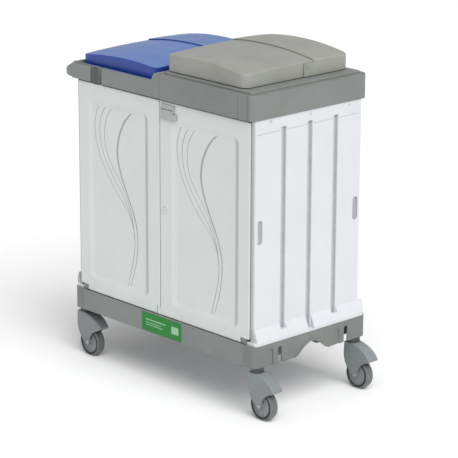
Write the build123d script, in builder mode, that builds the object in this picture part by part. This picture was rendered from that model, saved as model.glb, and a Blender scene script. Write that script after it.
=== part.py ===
from build123d import *
import os

# Housekeeping cart: two lidded bag bays over a closed cabinet on four swivel casters.
# Millimetres. X runs along the doors, -Y is the door side, +Z is up, the floor is Z = 0
# and the origin lies on the floor under the middle of the overall bounding box.

os.makedirs("parts", exist_ok=True)

# ------------------------------------------------------------------ overall sizes
base_length = 920.0
base_width = 528.0
base_height = 74.0
base_corner = 27.0
caster_height = 177.5
cabinet_height = 751.0
frame_height = 56.0
collar_height = 83.0
collar_overhang = 3.0

base_bottom = caster_height
base_top = base_bottom + base_height
cabinet_top = base_top + cabinet_height
frame_top = cabinet_top + frame_height
collar_top = cabinet_top + collar_height
half_length = base_length / 2
half_width = base_width / 2
contact = 0.5  # air left between pieces of different bodies that pass each other

# ------------------------------------------------------------------ casters
wheel_diameter = 100.0
wheel_width = 32.0
tread_thickness = 12.0
hub_boss_width = 34.0
caster_inset_x = 23.0
caster_inset_y = 38.0
caster_trail = 31.0
fork_width = 46.0
fork_cheek = 4.5
fork_top = 158.0
visor_reach = 95.0
swivel_radius = 21.0
stem_radius = 10.0
stem_length = 48.0
crown_round = 6.0
wheel_clearance = 6.0
kingpin_radius = 8.0
kingpin_length = 26.0
axle_radius = 4.0
axle_head_radius = 7.0
axle_head = 2.5
hub_dish = 2.5
hub_dish_rim = 4.0
hub_dish_centre = 13.0
hub_boss_radius = 11.0
tread_round = 5.0
running_gap = 0.05  # radial clearance of every turning fit

caster_x = half_length - caster_inset_x
caster_y = half_width - caster_inset_y
wheel_radius = wheel_diameter / 2

# ------------------------------------------------------------------ base
end_depth = 58.0
base_wall = 5.0
base_skin = 6.0
boss_radius = 20.5
arch_width = 156.0
arch_shoulder = 47.0
arch_height = 41.0
arch_rim = 6.0
notch_rise = 56.0
arch_rim_relief = 2.5
shallow_slot_places = (-190.0, 120.0)
shallow_slot_width = 22.0
shallow_slot_depth = 3.0
through_slot_places = (-148.0, 162.0)
through_slot_width = 18.0
rail_wall = 4.0
shelf_width = 30.0
deck_thickness = 6.0
deck_drop = 4.5
cross_tube = 25.0
cross_spacing = 320.0
tube_wall = 2.0
label_length = 200.0
label_height = 66.0
label_thickness = 0.5

end_inner_x = half_length - end_depth
deck_top = base_top - deck_drop
shelf_top = deck_top - deck_thickness

# ------------------------------------------------------------------ cabinet
panel_inset = 20.0
panel_thickness = 5.0
panel_front_inset = 11.0
panel_rear_inset = 28.0
panel_corner = 11.0
foot_reach = 18.0
foot_height = 53.0
foot_lip = 11.0
flute_width = 26.0
flute_floor = 9.0
flute_depth = 7.0
flute_spacing = 119.0
upright_size = 24.0
upright_front_gap = 38.0
divider_thickness = 6.0

panel_face_x = half_length - panel_inset
panel_inner_x = panel_face_x - panel_thickness
panel_front_y = -half_width + panel_front_inset
panel_rear_y = half_width - panel_rear_inset
back_inner_y = panel_rear_y - panel_thickness
upright_x = panel_inner_x - upright_size / 2
upright_front_y = -half_width + upright_front_gap + upright_size / 2
upright_rear_y = back_inner_y - 1.0 - upright_size / 2

# ------------------------------------------------------------------ doors
door_setback = 6.0
door_thickness = 18.0
door_edge_gap = 15.0
door_end_gap = 1.5
door_top_gap = 5.0
door_gap = 4.0
door_gap_x = -7.5
hinge_inset = 19.0
hinge_stile = 32.0
free_stile = 34.0
door_skin = 8.0
door_edge_round = 2.0
pocket_corner = 8.0
rib_thickness = 3.0
recess_margin_hinge = 50.0
recess_margin_free = 56.0
recess_bottom = 43.0
recess_top = 55.0
recess_depth = 4.5
recess_slope = 20.0
recess_corner = 28.0
wave_depth = 1.3
notch_width = 39.0
notch_height = 19.0
tab_reach = 15.0
tab_height = 28.0
pivot_radius = 4.0
pivot_depth = 26.0

door_front_y = -half_width + door_setback
door_back_y = door_front_y + door_thickness
door_bottom = base_top + door_end_gap
door_top = cabinet_top - door_top_gap
door_height = door_top - door_bottom
door_edge_x = panel_face_x - door_edge_gap
hinge_x = door_edge_x - hinge_inset
hinge_y = (door_front_y + door_back_y) / 2

# ------------------------------------------------------------------ top mouldings
frame_overhang = 12.0
frame_joint = 2.0
frame_wall = 14.0
seat_rise_frame = 36.0
seat_rise_collar = 8.0
collar_lip = 18.0
opening_margin = 64.0
rebate = 8.0
moulding_wall = 4.0
shoulder_width = 42.0
shoulder_top = 85.0
handle_corner = 78.0
handle_bar = 28.0
handle_bar_height = 29.0
handle_arm_height = 52.0
tongue = 8.0
tongue_length = 97.0
tongue_gap = 10.0
groove_width = 16.0
groove_depth = 13.0
groove_offset = 148.0
corner_radius_collar = 25.0

frame_x0 = -(panel_face_x + frame_overhang)
frame_x1 = -frame_joint
collar_x0 = frame_joint
collar_x1 = panel_face_x + frame_joint
collar_y = half_width + collar_overhang
seat_frame = cabinet_top + seat_rise_frame
seat_collar = collar_top + seat_rise_collar
handle_x0 = -(caster_x + visor_reach)

# ------------------------------------------------------------------ lids
lid_length = 380.0
lid_inset_y = 30.0
lid_corner = 26.0
lid_wall = 3.0
lid_gap = 2.5
lid_edge_round = 3.6
cover_margin = 4.0
cover_raise = 3.5
crease_y = 70.0
flap_hinge_back = 30.0
flap_hinge_rise = 36.0
flap_pin_radius = 3.0
cover_hinge_rise = 25.0
cover_hinge_back = 10.0
knuckle_radius = 7.0
knuckle_pitch = 220.0
knuckle_width = 12.0
lug_width = 8.0
blue_inner_x = -52.0
grey_inner_x = -2.0

opening_y = half_width - opening_margin
lid_depth = base_width - 2 * lid_inset_y
blue_bottom = seat_frame + lid_gap
grey_bottom = seat_collar + lid_gap
flap_hinge_y = crease_y - flap_hinge_back
cover_rear_y = lid_depth / 2 + cover_margin
cover_hinge_y = cover_rear_y + cover_hinge_back


# ================================================================== base
def arch_outline(margin):
    """Bell-shaped outline of the arch in (y, z), grown by a margin."""
    foot = arch_width / 2 + margin
    shoulder = arch_shoulder + 0.8 * margin
    with BuildLine() as bell:
        Spline(
            (-foot, base_bottom),
            (-shoulder, base_bottom + arch_height / 2 + 0.6 * margin),
            (0, base_bottom + arch_height + margin),
            (shoulder, base_bottom + arch_height / 2 + 0.6 * margin),
            (foot, base_bottom),
            tangents=((1, 0.25), (1, -0.25)),
        )
        Line((foot, base_bottom), (-foot, base_bottom))
    return bell.line


def base_end(side):
    """End moulding of the base: hollow underneath, with two caster sockets and an arch."""
    mid_x = side * (half_length - end_depth / 2)
    face = Plane.YZ.offset(side * half_length)
    with BuildPart() as moulding:
        with BuildSketch(Plane.XY.offset(base_bottom)) as plan:
            with Locations((mid_x, 0)):
                Rectangle(end_depth, base_width)
            outer = plan.vertices().sort_by(Axis.X)
            fillet(outer[-2:] if side > 0 else outer[:2], base_corner)
        extrude(amount=base_height)
        with BuildSketch(Plane.XY.offset(base_bottom)) as hollow:
            with Locations((mid_x, 0)):
                Rectangle(end_depth - 2 * base_wall, base_width - 2 * base_wall)
            outer = hollow.vertices().sort_by(Axis.X)
            fillet(outer[-2:] if side > 0 else outer[:2], base_corner - base_wall)
        extrude(amount=base_height - base_skin, mode=Mode.SUBTRACT)
        with BuildSketch(Plane.XY.offset(base_bottom)):
            with Locations((side * caster_x, caster_y), (side * caster_x, -caster_y)):
                Circle(boss_radius)
        extrude(amount=base_height - base_skin)
        with BuildSketch(Plane.XY.offset(base_bottom)):
            with Locations((side * caster_x, caster_y), (side * caster_x, -caster_y)):
                Circle(stem_radius)
        extrude(amount=stem_length, mode=Mode.SUBTRACT)
        # raised rim that follows the arch
        with BuildSketch(face):
            add(make_face(arch_outline(arch_rim), mode=Mode.PRIVATE))
        extrude(amount=side * arch_rim_relief)
        with BuildSketch(Plane.YZ.offset(mid_x)):
            add(make_face(arch_outline(0), mode=Mode.PRIVATE))
        extrude(amount=end_depth, both=True, mode=Mode.SUBTRACT)
        # strap slots: one shallow and one cut through on each half
        with BuildSketch(face):
            for y in shallow_slot_places:
                with Locations((y, base_bottom)):
                    SlotOverall(2 * notch_rise, shallow_slot_width, rotation=90)
        extrude(amount=-side * shallow_slot_depth, mode=Mode.SUBTRACT)
        with BuildSketch(face):
            for y in through_slot_places:
                with Locations((y, base_bottom)):
                    SlotOverall(2 * notch_rise, through_slot_width, rotation=90)
        extrude(amount=-side * 2 * base_wall, mode=Mode.SUBTRACT)
    return moulding.part


for name, side in (("base_end_left", -1), ("base_end_right", 1)):
    end_piece = base_end(side)
    end_piece.label = name
    export_step(end_piece, f"parts/{name}.step")

for name, side in (("base_rail_front", -1), ("base_rail_rear", 1)):
    with BuildPart() as base_rail:
        with BuildSketch(Plane.YZ.offset(-end_inner_x)):
            with Locations((side * (half_width - rail_wall / 2), base_bottom + base_height / 2)):
                Rectangle(rail_wall, base_height)
            with Locations((side * (half_width - shelf_width / 2), shelf_top - rail_wall / 2)):
                Rectangle(shelf_width, rail_wall)
            with Locations((side * (half_width - shelf_width / 2), base_bottom + rail_wall / 2)):
                Rectangle(shelf_width, rail_wall)
        extrude(amount=2 * end_inner_x)
    base_rail.part.label = name
    export_step(base_rail.part, f"parts/{name}.step")

with BuildPart() as base_deck:
    with BuildSketch(Plane.XY.offset(shelf_top)):
        Rectangle(2 * end_inner_x, base_width - 2 * rail_wall)
    extrude(amount=deck_thickness)
base_deck.part.label = "base_deck"
export_step(base_deck.part, "parts/base_deck.step")

with BuildPart() as base_cross_tubes:
    with BuildSketch(Plane.XZ.offset(-(half_width - rail_wall))):
        with GridLocations(cross_spacing, 1, 2, 1):
            with Locations((0, shelf_top - rail_wall - cross_tube / 2)):
                Rectangle(cross_tube, cross_tube)
                Rectangle(cross_tube - 2 * tube_wall, cross_tube - 2 * tube_wall, mode=Mode.SUBTRACT)
    extrude(amount=base_width - 2 * rail_wall)
base_cross_tubes.part.label = "base_cross_tubes"
export_step(base_cross_tubes.part, "parts/base_cross_tubes.step")

with BuildPart() as rail_label:
    with BuildSketch(Plane.XZ.offset(half_width)):
        with Locations((5, base_bottom + base_height / 2)):
            RectangleRounded(label_length, label_height, 3)
    extrude(amount=label_thickness)
rail_label.part.label = "rail_label"
export_step(rail_label.part, "parts/rail_label.step")


# ================================================================== casters
def fork_outline():
    """Side outline of the caster hood, as (distance behind the swivel axis, height)."""
    hub_x = caster_trail
    hub_z = wheel_radius
    tip = 9.0
    with BuildLine() as outline:
        back = Line((-22, fork_top), (-24, fork_top - 45))
        leg = Spline(back @ 1, (-12, hub_z + 26), (hub_x - 13, hub_z - 5))
        nose = ThreePointArc(leg @ 1, (hub_x, hub_z - tip - 2), (hub_x + tip, hub_z))
        inner = Spline(
            nose @ 1,
            (hub_x + 20, hub_z + 33),
            (hub_x + 44, hub_z + 50),
            (visor_reach - 6, hub_z + 55),
        )
        lip = Line(inner @ 1, (visor_reach, hub_z + 63))
        top = Spline(
            lip @ 1,
            (visor_reach - 26, fork_top - 18),
            (visor_reach - 58, fork_top - 4),
            (22, fork_top),
        )
        Line(top @ 1, back @ 0)
    return outline.line


for name, side_x, side_y in (
    ("front_left", -1, -1),
    ("front_right", 1, -1),
    ("rear_left", -1, 1),
    ("rear_right", 1, 1),
):
    cx = side_x * caster_x
    cy = side_y * caster_y
    wheel_plane = Plane(origin=(cx, cy, 0), x_dir=(1, 0, 0), z_dir=(0, -1, 0))
    axle_plane = Plane(origin=(cx + caster_trail, cy, wheel_radius), x_dir=(1, 0, 0), z_dir=(0, -1, 0))

    with BuildPart() as caster_fork:
        with BuildSketch(wheel_plane):
            add(fork_outline())
            make_face()
        extrude(amount=fork_width / 2, both=True)
        crown = caster_fork.edges().filter_by(Axis.Y, reverse=True).filter_by(GeomType.BSPLINE)
        crown = crown.group_by(Axis.Z)[-1]
        fillet(crown, crown_round)
        with BuildSketch(axle_plane):
            Circle(wheel_radius + wheel_clearance)
        extrude(amount=fork_width / 2 - fork_cheek, both=True, mode=Mode.SUBTRACT)
        with BuildSketch(axle_plane):
            Circle(axle_radius)
        extrude(amount=fork_width / 2, both=True, mode=Mode.SUBTRACT)
        with BuildSketch(Plane(origin=(cx, cy, fork_top))):
            Circle(kingpin_radius + running_gap)
        extrude(amount=-kingpin_length - contact, mode=Mode.SUBTRACT)
    caster_fork.part.label = f"caster_fork_{name}"
    export_step(caster_fork.part, f"parts/caster_fork_{name}.step")

    with BuildPart() as caster_axle:
        with BuildSketch(axle_plane):
            Circle(axle_radius)
        extrude(amount=fork_width / 2, both=True)
        with BuildSketch(axle_plane.offset(fork_width / 2)):
            Circle(axle_head_radius)
        extrude(amount=axle_head)
        with BuildSketch(axle_plane.offset(-fork_width / 2)):
            Circle(axle_head_radius)
        extrude(amount=-axle_head)
        fillet(caster_axle.faces().sort_by(Axis.Y)[0].edges(), 1)
        fillet(caster_axle.faces().sort_by(Axis.Y)[-1].edges(), 1)
    caster_axle.part.label = f"caster_axle_{name}"
    export_step(caster_axle.part, f"parts/caster_axle_{name}.step")

    rim_radius = wheel_radius - tread_thickness
    with BuildPart() as caster_hub:
        with BuildSketch(axle_plane):
            Circle(rim_radius)
        extrude(amount=wheel_width / 2 - 1, both=True)
        with BuildSketch(axle_plane.offset(wheel_width / 2 - 1)):
            Circle(rim_radius - hub_dish_rim)
            Circle(hub_dish_centre, mode=Mode.SUBTRACT)
        extrude(amount=-hub_dish, mode=Mode.SUBTRACT)
        with BuildSketch(axle_plane.offset(1 - wheel_width / 2)):
            Circle(rim_radius - hub_dish_rim)
            Circle(hub_dish_centre, mode=Mode.SUBTRACT)
        extrude(amount=hub_dish, mode=Mode.SUBTRACT)
        with BuildSketch(axle_plane):
            Circle(hub_boss_radius)
        extrude(amount=hub_boss_width / 2, both=True)
        with BuildSketch(axle_plane):
            Circle(axle_radius + running_gap)
        extrude(amount=hub_boss_width, both=True, mode=Mode.SUBTRACT)
    caster_hub.part.label = f"caster_hub_{name}"
    export_step(caster_hub.part, f"parts/caster_hub_{name}.step")

    with BuildPart() as caster_tyre:
        with BuildSketch(Plane.XY.offset(wheel_radius)) as tread:
            with Locations((cx + caster_trail + wheel_radius - tread_thickness / 2, cy)):
                Rectangle(tread_thickness, wheel_width)
            fillet(tread.vertices().sort_by(Axis.X)[-2:], tread_round)
        revolve(axis=Axis((cx + caster_trail, cy, wheel_radius), (0, 1, 0)))
    caster_tyre.part.label = f"caster_tyre_{name}"
    export_step(caster_tyre.part, f"parts/caster_tyre_{name}.step")

with BuildPart() as caster_stems:
    stem_places = [(sx * caster_x, sy * caster_y) for sx in (-1, 1) for sy in (-1, 1)]
    with BuildSketch(Plane.XY.offset(fork_top + contact)):
        with Locations(*stem_places):
            Circle(swivel_radius)
    extrude(amount=base_bottom - fork_top - contact)
    with BuildSketch(Plane.XY.offset(base_bottom)):
        with Locations(*stem_places):
            Circle(stem_radius)
    extrude(amount=stem_length)
    with BuildSketch(Plane.XY.offset(fork_top - kingpin_length)):
        with Locations(*stem_places):
            Circle(kingpin_radius)
    extrude(amount=kingpin_length + contact)
caster_stems.part.label = "caster_stems"
export_step(caster_stems.part, "parts/caster_stems.step")


# ================================================================== uprights and panels
frame_ceiling = seat_frame - rebate - moulding_wall
collar_ceiling = seat_collar - rebate - moulding_wall
for name, side_x, post_y, post_top in (
    ("front_left", -1, upright_front_y, frame_ceiling),
    ("front_right", 1, upright_front_y, collar_ceiling),
    ("rear_left", -1, upright_rear_y, frame_ceiling),
    ("rear_right", 1, upright_rear_y, collar_ceiling),
):
    with BuildPart() as upright:
        with BuildSketch(Plane.XY.offset(base_top)):
            with Locations((side_x * upright_x, post_y)):
                RectangleRounded(upright_size, upright_size, 2)
                Rectangle(upright_size - 2 * tube_wall, upright_size - 2 * tube_wall, mode=Mode.SUBTRACT)
        extrude(amount=post_top - base_top)
    upright.part.label = f"upright_{name}"
    export_step(upright.part, f"parts/upright_{name}.step")

flute_places = (-flute_spacing, 0, flute_spacing)
flute_on_foot = base_top + foot_height - 20
flute_to_lip = base_top + foot_lip - 5
flute_bottoms = (flute_on_foot, flute_to_lip, flute_on_foot)
flute_top = cabinet_top - 32
rivet_z = cabinet_top - 10
rivet_places = (-180.0, 0.0, 180.0)
rivet_radius = 2.5
rivet_head_radius = 4.75
rivet_head = 1.6
line_z = cabinet_top - 47.0
line_height = 3.0
line_depth = 1.0
slot_centre_z = base_top + 379
slot_length = 80.0
slot_width = 24.0
slot_depth = 3.4
slot_places = (-half_width + 38, half_width - 48)
foot_end_gap = 8.0
tip_length = 32.0
tip_depth = 13.0
tip_round = 4.0


def end_panel(side):
    """Moulded end panel: flutes pressed inwards, a flared foot and two blind strap slots."""
    face_x = side * panel_face_x
    inner_x = side * panel_inner_x
    width = panel_rear_y - panel_front_y
    mid_y = (panel_rear_y + panel_front_y) / 2
    foot_x = side * (panel_face_x + foot_reach)
    foot_width = base_width - 2 * foot_end_gap
    face = Plane.YZ.offset(face_x)
    with BuildPart() as panel:
        with BuildSketch(Plane.XY.offset(base_top)) as sheet:
            with Locations((face_x - side * panel_corner / 2, mid_y)):
                Rectangle(panel_corner, width)
            outer = sheet.vertices().group_by(Axis.X)[-1 if side > 0 else 0].sort_by(Axis.Y)
            fillet(outer[0], panel_corner - 0.01)
            with BuildSketch(mode=Mode.SUBTRACT) as inside:
                with Locations((inner_x - side * panel_corner / 2, mid_y + panel_thickness)):
                    Rectangle(panel_corner, width)
                inner = inside.vertices().group_by(Axis.X)[-1 if side > 0 else 0].sort_by(Axis.Y)
                fillet(inner[0], panel_corner - panel_thickness - 0.01)
        extrude(amount=cabinet_height)
        # the flutes' ribs stand inside the sheet
        for y, flute_bottom in zip(flute_places, flute_bottoms):
            with BuildSketch(Plane.XY.offset(flute_bottom - 3)):
                with Locations((inner_x - side * (flute_depth - 2) / 2, y)):
                    Rectangle(flute_depth - 2, flute_width + 4)
            extrude(amount=flute_top - flute_bottom + 3)
        # flared foot along the base
        with BuildSketch(Plane.XZ.offset(foot_width / 2)):
            with BuildLine():
                Polyline(
                    (face_x - side, base_top + foot_height),
                    (face_x, base_top + foot_height),
                    (foot_x, base_top + foot_lip),
                    (foot_x, base_top),
                    (inner_x, base_top),
                    (inner_x, base_top + foot_lip),
                    close=True,
                )
            make_face()
        extrude(amount=-foot_width)
        foot_corners = panel.edges().filter_by(Axis.Z)
        fillet(foot_corners.group_by(Axis.X)[-1 if side > 0 else 0], foot_reach - 1)
        # front tip of the foot, which wraps the corner of the base
        tip_y = -foot_width / 2
        with BuildSketch(Plane.XY.offset(base_top)) as tip:
            with Locations((side * (panel_inner_x - 5), tip_y + tip_depth / 2)):
                Rectangle(tip_length, tip_depth)
            fillet(tip.vertices(), tip_round)
        extrude(amount=foot_lip)
        for y, flute_bottom in zip(flute_places, flute_bottoms):
            with BuildSketch(Plane.XY.offset(flute_bottom)):
                with BuildLine():
                    Polyline(
                        (foot_x + side, y - flute_width / 2),
                        (face_x, y - flute_width / 2),
                        (face_x - side * flute_depth, y - flute_floor / 2),
                        (face_x - side * flute_depth, y + flute_floor / 2),
                        (face_x, y + flute_width / 2),
                        (foot_x + side, y + flute_width / 2),
                        close=True,
                    )
                make_face()
            extrude(amount=flute_top - 4 - flute_bottom, mode=Mode.SUBTRACT)
        with BuildSketch(face):
            for y in slot_places:
                with Locations((y, slot_centre_z)):
                    SlotOverall(slot_length, slot_width, rotation=90)
        extrude(amount=-side * slot_depth, mode=Mode.SUBTRACT)
        with BuildSketch(face):
            for y in rivet_places:
                with Locations((y, rivet_z)):
                    Circle(rivet_radius)
        extrude(amount=-side * panel_thickness, mode=Mode.SUBTRACT)
        with BuildSketch(face):
            with Locations((mid_y, line_z)):
                Rectangle(width - 2 * panel_corner, line_height)
        extrude(amount=-side * line_depth, mode=Mode.SUBTRACT)
    return panel.part


for name, side in (("end_panel_left", -1), ("end_panel_right", 1)):
    panel_piece = end_panel(side)
    panel_piece.label = name
    export_step(panel_piece, f"parts/{name}.step")

with BuildPart() as panel_rivets:
    for side in (-1, 1):
        rivet_face = Plane.YZ.offset(side * panel_face_x)
        with BuildSketch(rivet_face):
            for y in rivet_places:
                with Locations((y, rivet_z)):
                    Circle(rivet_head_radius)
        extrude(amount=side * rivet_head)
        with BuildSketch(rivet_face):
            for y in rivet_places:
                with Locations((y, rivet_z)):
                    Circle(rivet_radius)
        extrude(amount=-side * panel_thickness)
panel_rivets.part.label = "panel_rivets"
export_step(panel_rivets.part, "parts/panel_rivets.step")

back_flutes = 5
back_flute_margin = 40.0
back_flute_depth = 3.0
back_rib_depth = 1.0
with BuildPart() as back_panel:
    back_width = 2 * panel_inner_x - 1.0
    with BuildSketch(Plane.XZ.offset(-panel_rear_y)):
        with Locations((0, (base_top + cabinet_top) / 2)):
            Rectangle(back_width, cabinet_height)
    extrude(amount=panel_thickness)
    with BuildSketch(Plane.XY.offset(base_top + back_flute_margin)):
        with Locations((0, panel_rear_y)):
            with GridLocations(back_width / back_flutes, 1, back_flutes, 1):
                Rectangle(flute_width, 2 * back_flute_depth)
    extrude(amount=cabinet_height - 2 * back_flute_margin, mode=Mode.SUBTRACT)
    with BuildSketch(Plane.XY.offset(base_top + back_flute_margin - 4)):
        with Locations((0, back_inner_y - back_rib_depth / 2)):
            with GridLocations(back_width / back_flutes, 1, back_flutes, 1):
                Rectangle(flute_width + 8, back_rib_depth)
    extrude(amount=cabinet_height - 2 * back_flute_margin + 8)
back_panel.part.label = "back_panel"
export_step(back_panel.part, "parts/back_panel.step")

lock_z = base_top + 374.0
lock_reach = 36.0
cam_width = 14.0
cam_thickness = 3.0
catch_z = cabinet_top - 58.0
catch_height = 35.0
catch_width = 46.0
catch_front_y = door_back_y + contact
cam_y = door_back_y + 8.5
cam_clearance = 3.5
divider_front_y = cam_y + cam_thickness + cam_clearance
catch_depth = divider_front_y - catch_front_y
divider_x = door_gap_x
with BuildPart() as centre_divider:
    with BuildSketch(Plane.XY.offset(deck_top)):
        with Locations((divider_x, (divider_front_y + back_inner_y) / 2 - 1)):
            Rectangle(divider_thickness, back_inner_y - divider_front_y - 2)
    extrude(amount=cabinet_top - deck_top)
centre_divider.part.label = "centre_divider"
export_step(centre_divider.part, "parts/centre_divider.step")


# ================================================================== doors
def wave_strip(door_x, points, widths):
    """Outline of one engraved line: a smooth strip through (x, z) points, widths across x."""
    left = [(door_x + x - w / 2, door_bottom + z) for (x, z), w in zip(points, widths)]
    right = [(door_x + x + w / 2, door_bottom + z) for (x, z), w in zip(points, widths)]
    with BuildLine() as outline:
        one = Spline(*left)
        two = Spline(*right)
        Line(one @ 0, two @ 0)
        Line(one @ 1, two @ 1)
    return outline.line


wave_main = ((312, 694), (217, 607), (196, 527), (240, 396), (296, 262), (291, 160), (258, 58))
wave_main_widths = (4.0, 8.5, 9.0, 7.0, 5.0, 3.0, 2.0)
thin_wave_width = 2.4


def thin_wave(step):
    """Thin line number 0, 1 or 2 beside the main wave; they close up towards the bottom."""
    points = [
        (111 + 37 * step, 686),
        (81 + 24 * step, 570 + 4 * step),
        (121 + 12 * step, 470 + 18 * step),
        (194 + 4 * step, 380 + 26 * step),
        (262 + step, 305 + 10 * step),
        (283 - step, 238),
    ]
    if step == 0:
        points = points + [(274, 155), (247, 58)]
    return points


def door(side):
    """Tray-shaped door. side is -1 for the left door and 1 for the right one."""
    free_x = door_gap_x + side * door_gap / 2
    edge_x = side * door_edge_x
    low_x = min(free_x, edge_x)
    high_x = max(free_x, edge_x)
    pivot_x = side * hinge_x
    front = Plane.XZ.offset(-door_front_y)
    back = Plane.XZ.offset(-door_back_y)
    mid_z = (door_bottom + door_top) / 2
    recess_a = free_x + side * recess_margin_free
    recess_b = edge_x - side * recess_margin_hinge
    recess_x = (recess_a + recess_b) / 2
    recess_w = abs(recess_b - recess_a)
    recess_h = door_height - recess_bottom - recess_top
    recess_z = door_bottom + recess_bottom + recess_h / 2
    pocket_a = free_x + side * free_stile
    pocket_b = edge_x - side * hinge_stile
    pocket_w = abs(pocket_b - pocket_a)
    pocket_x = (pocket_a + pocket_b) / 2
    with BuildPart() as leaf:
        with BuildSketch(front):
            with Locations(((low_x + high_x) / 2, mid_z)):
                Rectangle(high_x - low_x, door_height)
        extrude(amount=-door_thickness)
        fillet(leaf.faces().sort_by(Axis.Y)[0].edges(), door_edge_round)
        # shallow field with a soft slope all round
        with BuildSketch(front):
            with Locations((recess_x, recess_z)):
                RectangleRounded(recess_w, recess_h, recess_corner)
        with BuildSketch(front.offset(-recess_depth)):
            with Locations((recess_x, recess_z)):
                RectangleRounded(
                    recess_w - 2 * recess_slope,
                    recess_h - 2 * recess_slope,
                    recess_corner - recess_slope,
                )
        loft(mode=Mode.SUBTRACT)
        # the back is a tray with stiffening ribs
        with BuildSketch(back):
            with Locations((pocket_x, mid_z)):
                RectangleRounded(pocket_w, door_height - 2 * hinge_stile, pocket_corner)
                Rectangle(rib_thickness, door_height, mode=Mode.SUBTRACT)
                with GridLocations(1, door_height / 4, 1, 3):
                    Rectangle(pocket_w, rib_thickness, mode=Mode.SUBTRACT)
        extrude(amount=door_thickness - door_skin, mode=Mode.SUBTRACT)
        # engraved waves in the field
        field = front.offset(-recess_depth)
        with BuildSketch(field):
            main_line = wave_strip(low_x, wave_main, wave_main_widths)
            add(make_face(main_line, mode=Mode.PRIVATE))
            for step in range(3):
                points = thin_wave(step)
                thin_line = wave_strip(low_x, points, [thin_wave_width] * len(points))
                add(make_face(thin_line, mode=Mode.PRIVATE))
        extrude(amount=-wave_depth, mode=Mode.SUBTRACT)
        # clearance at the foot of the hinge edge for the pivot bracket
        with BuildSketch(front):
            with Locations((edge_x - side * notch_width / 2, door_bottom + notch_height / 2)):
                Rectangle(notch_width, notch_height)
        extrude(amount=-door_thickness, mode=Mode.SUBTRACT)
        # the right door's foot laps past the centre line and the left one makes room for it
        tab_x = free_x - side * tab_reach / 2 if side > 0 else free_x + side * tab_reach / 2
        with BuildSketch(front):
            with Locations((tab_x, door_bottom + tab_height / 2)):
                Rectangle(tab_reach + (0 if side > 0 else 0.01), tab_height)
        extrude(amount=-door_thickness, mode=Mode.ADD if side > 0 else Mode.SUBTRACT)
        for z, depth in ((door_bottom + notch_height, pivot_depth), (door_top, -pivot_depth)):
            with BuildSketch(Plane.XY.offset(z)):
                with Locations((pivot_x, hinge_y)):
                    Circle(pivot_radius + running_gap)
            extrude(amount=depth, mode=Mode.SUBTRACT)
        # seat for the catch's strike plate
        with BuildSketch(back):
            with Locations((door_gap_x + side * strike_offset, catch_z)):
                Rectangle(strike_width, strike_height)
        extrude(amount=strike_thickness, mode=Mode.SUBTRACT)
        if side > 0:
            with BuildSketch(front):
                with Locations((lock_x, lock_z)):
                    Circle(lock_body_radius)
            extrude(amount=-door_thickness, mode=Mode.SUBTRACT)
    return leaf.part


strike_offset = 13.0
strike_width = 14.0
strike_height = 26.0
strike_thickness = 1.5
lock_x = door_gap_x + 23.5
lock_body_radius = 9.0
lock_head_radius = 11.0
lock_plug_radius = 6.0

for name, side in (("door_left", -1), ("door_right", 1)):
    door_piece = door(side)
    door_piece.label = name
    export_step(door_piece, f"parts/{name}.step")

pin_seat = 16.0
bracket_length = 23.0
bracket_offset = 4.0
bracket_top = door_bottom + notch_height - contact
with BuildPart() as door_pivot_brackets:
    with BuildSketch(Plane.XY.offset(base_top)):
        for side in (-1, 1):
            with Locations((side * (hinge_x - bracket_offset), hinge_y)):
                RectangleRounded(bracket_length, door_thickness - 1, 2)
    extrude(amount=bracket_top - base_top)
    with BuildSketch(Plane.XY.offset(base_top)):
        for side in (-1, 1):
            with Locations((side * hinge_x, hinge_y)):
                Circle(pivot_radius)
    extrude(amount=bracket_top - base_top, mode=Mode.SUBTRACT)
door_pivot_brackets.part.label = "door_pivot_brackets"
export_step(door_pivot_brackets.part, "parts/door_pivot_brackets.step")

with BuildPart() as door_pivot_pins:
    for side in (-1, 1):
        with BuildSketch(Plane.XY.offset(base_top)):
            with Locations((side * hinge_x, hinge_y)):
                Circle(pivot_radius)
        extrude(amount=bracket_top + pivot_depth - 2 - base_top)
        with BuildSketch(Plane.XY.offset(cabinet_top + pin_seat)):
            with Locations((side * hinge_x, hinge_y)):
                Circle(pivot_radius)
        extrude(amount=-(pin_seat + door_top_gap + pivot_depth - 2))
door_pivot_pins.part.label = "door_pivot_pins"
export_step(door_pivot_pins.part, "parts/door_pivot_pins.step")

magnet_radius = 5.0
magnet_depth = 4.0
magnet_places = [(divider_x - strike_offset, catch_z), (divider_x + strike_offset, catch_z)]
with BuildPart() as catch_block:
    with BuildSketch(Plane.XZ.offset(-catch_front_y)):
        with Locations((divider_x, catch_z)):
            Rectangle(catch_width, catch_height)
    extrude(amount=-catch_depth)
    with BuildSketch(Plane.XZ.offset(-catch_front_y)):
        with Locations(*magnet_places):
            Circle(magnet_radius)
    extrude(amount=-magnet_depth, mode=Mode.SUBTRACT)
catch_block.part.label = "catch_block"
export_step(catch_block.part, "parts/catch_block.step")

with BuildPart() as catch_magnets:
    with BuildSketch(Plane.XZ.offset(-catch_front_y)):
        with Locations(*magnet_places):
            Circle(magnet_radius)
    extrude(amount=-magnet_depth)
catch_magnets.part.label = "catch_magnets"
export_step(catch_magnets.part, "parts/catch_magnets.step")

for name, side in (("strike_plate_left", -1), ("strike_plate_right", 1)):
    with BuildPart() as strike_plate:
        with BuildSketch(Plane.XZ.offset(-door_back_y)):
            with Locations((door_gap_x + side * strike_offset, catch_z)):
                Rectangle(strike_width, strike_height)
        extrude(amount=strike_thickness)
    strike_plate.part.label = name
    export_step(strike_plate.part, f"parts/{name}.step")

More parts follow.
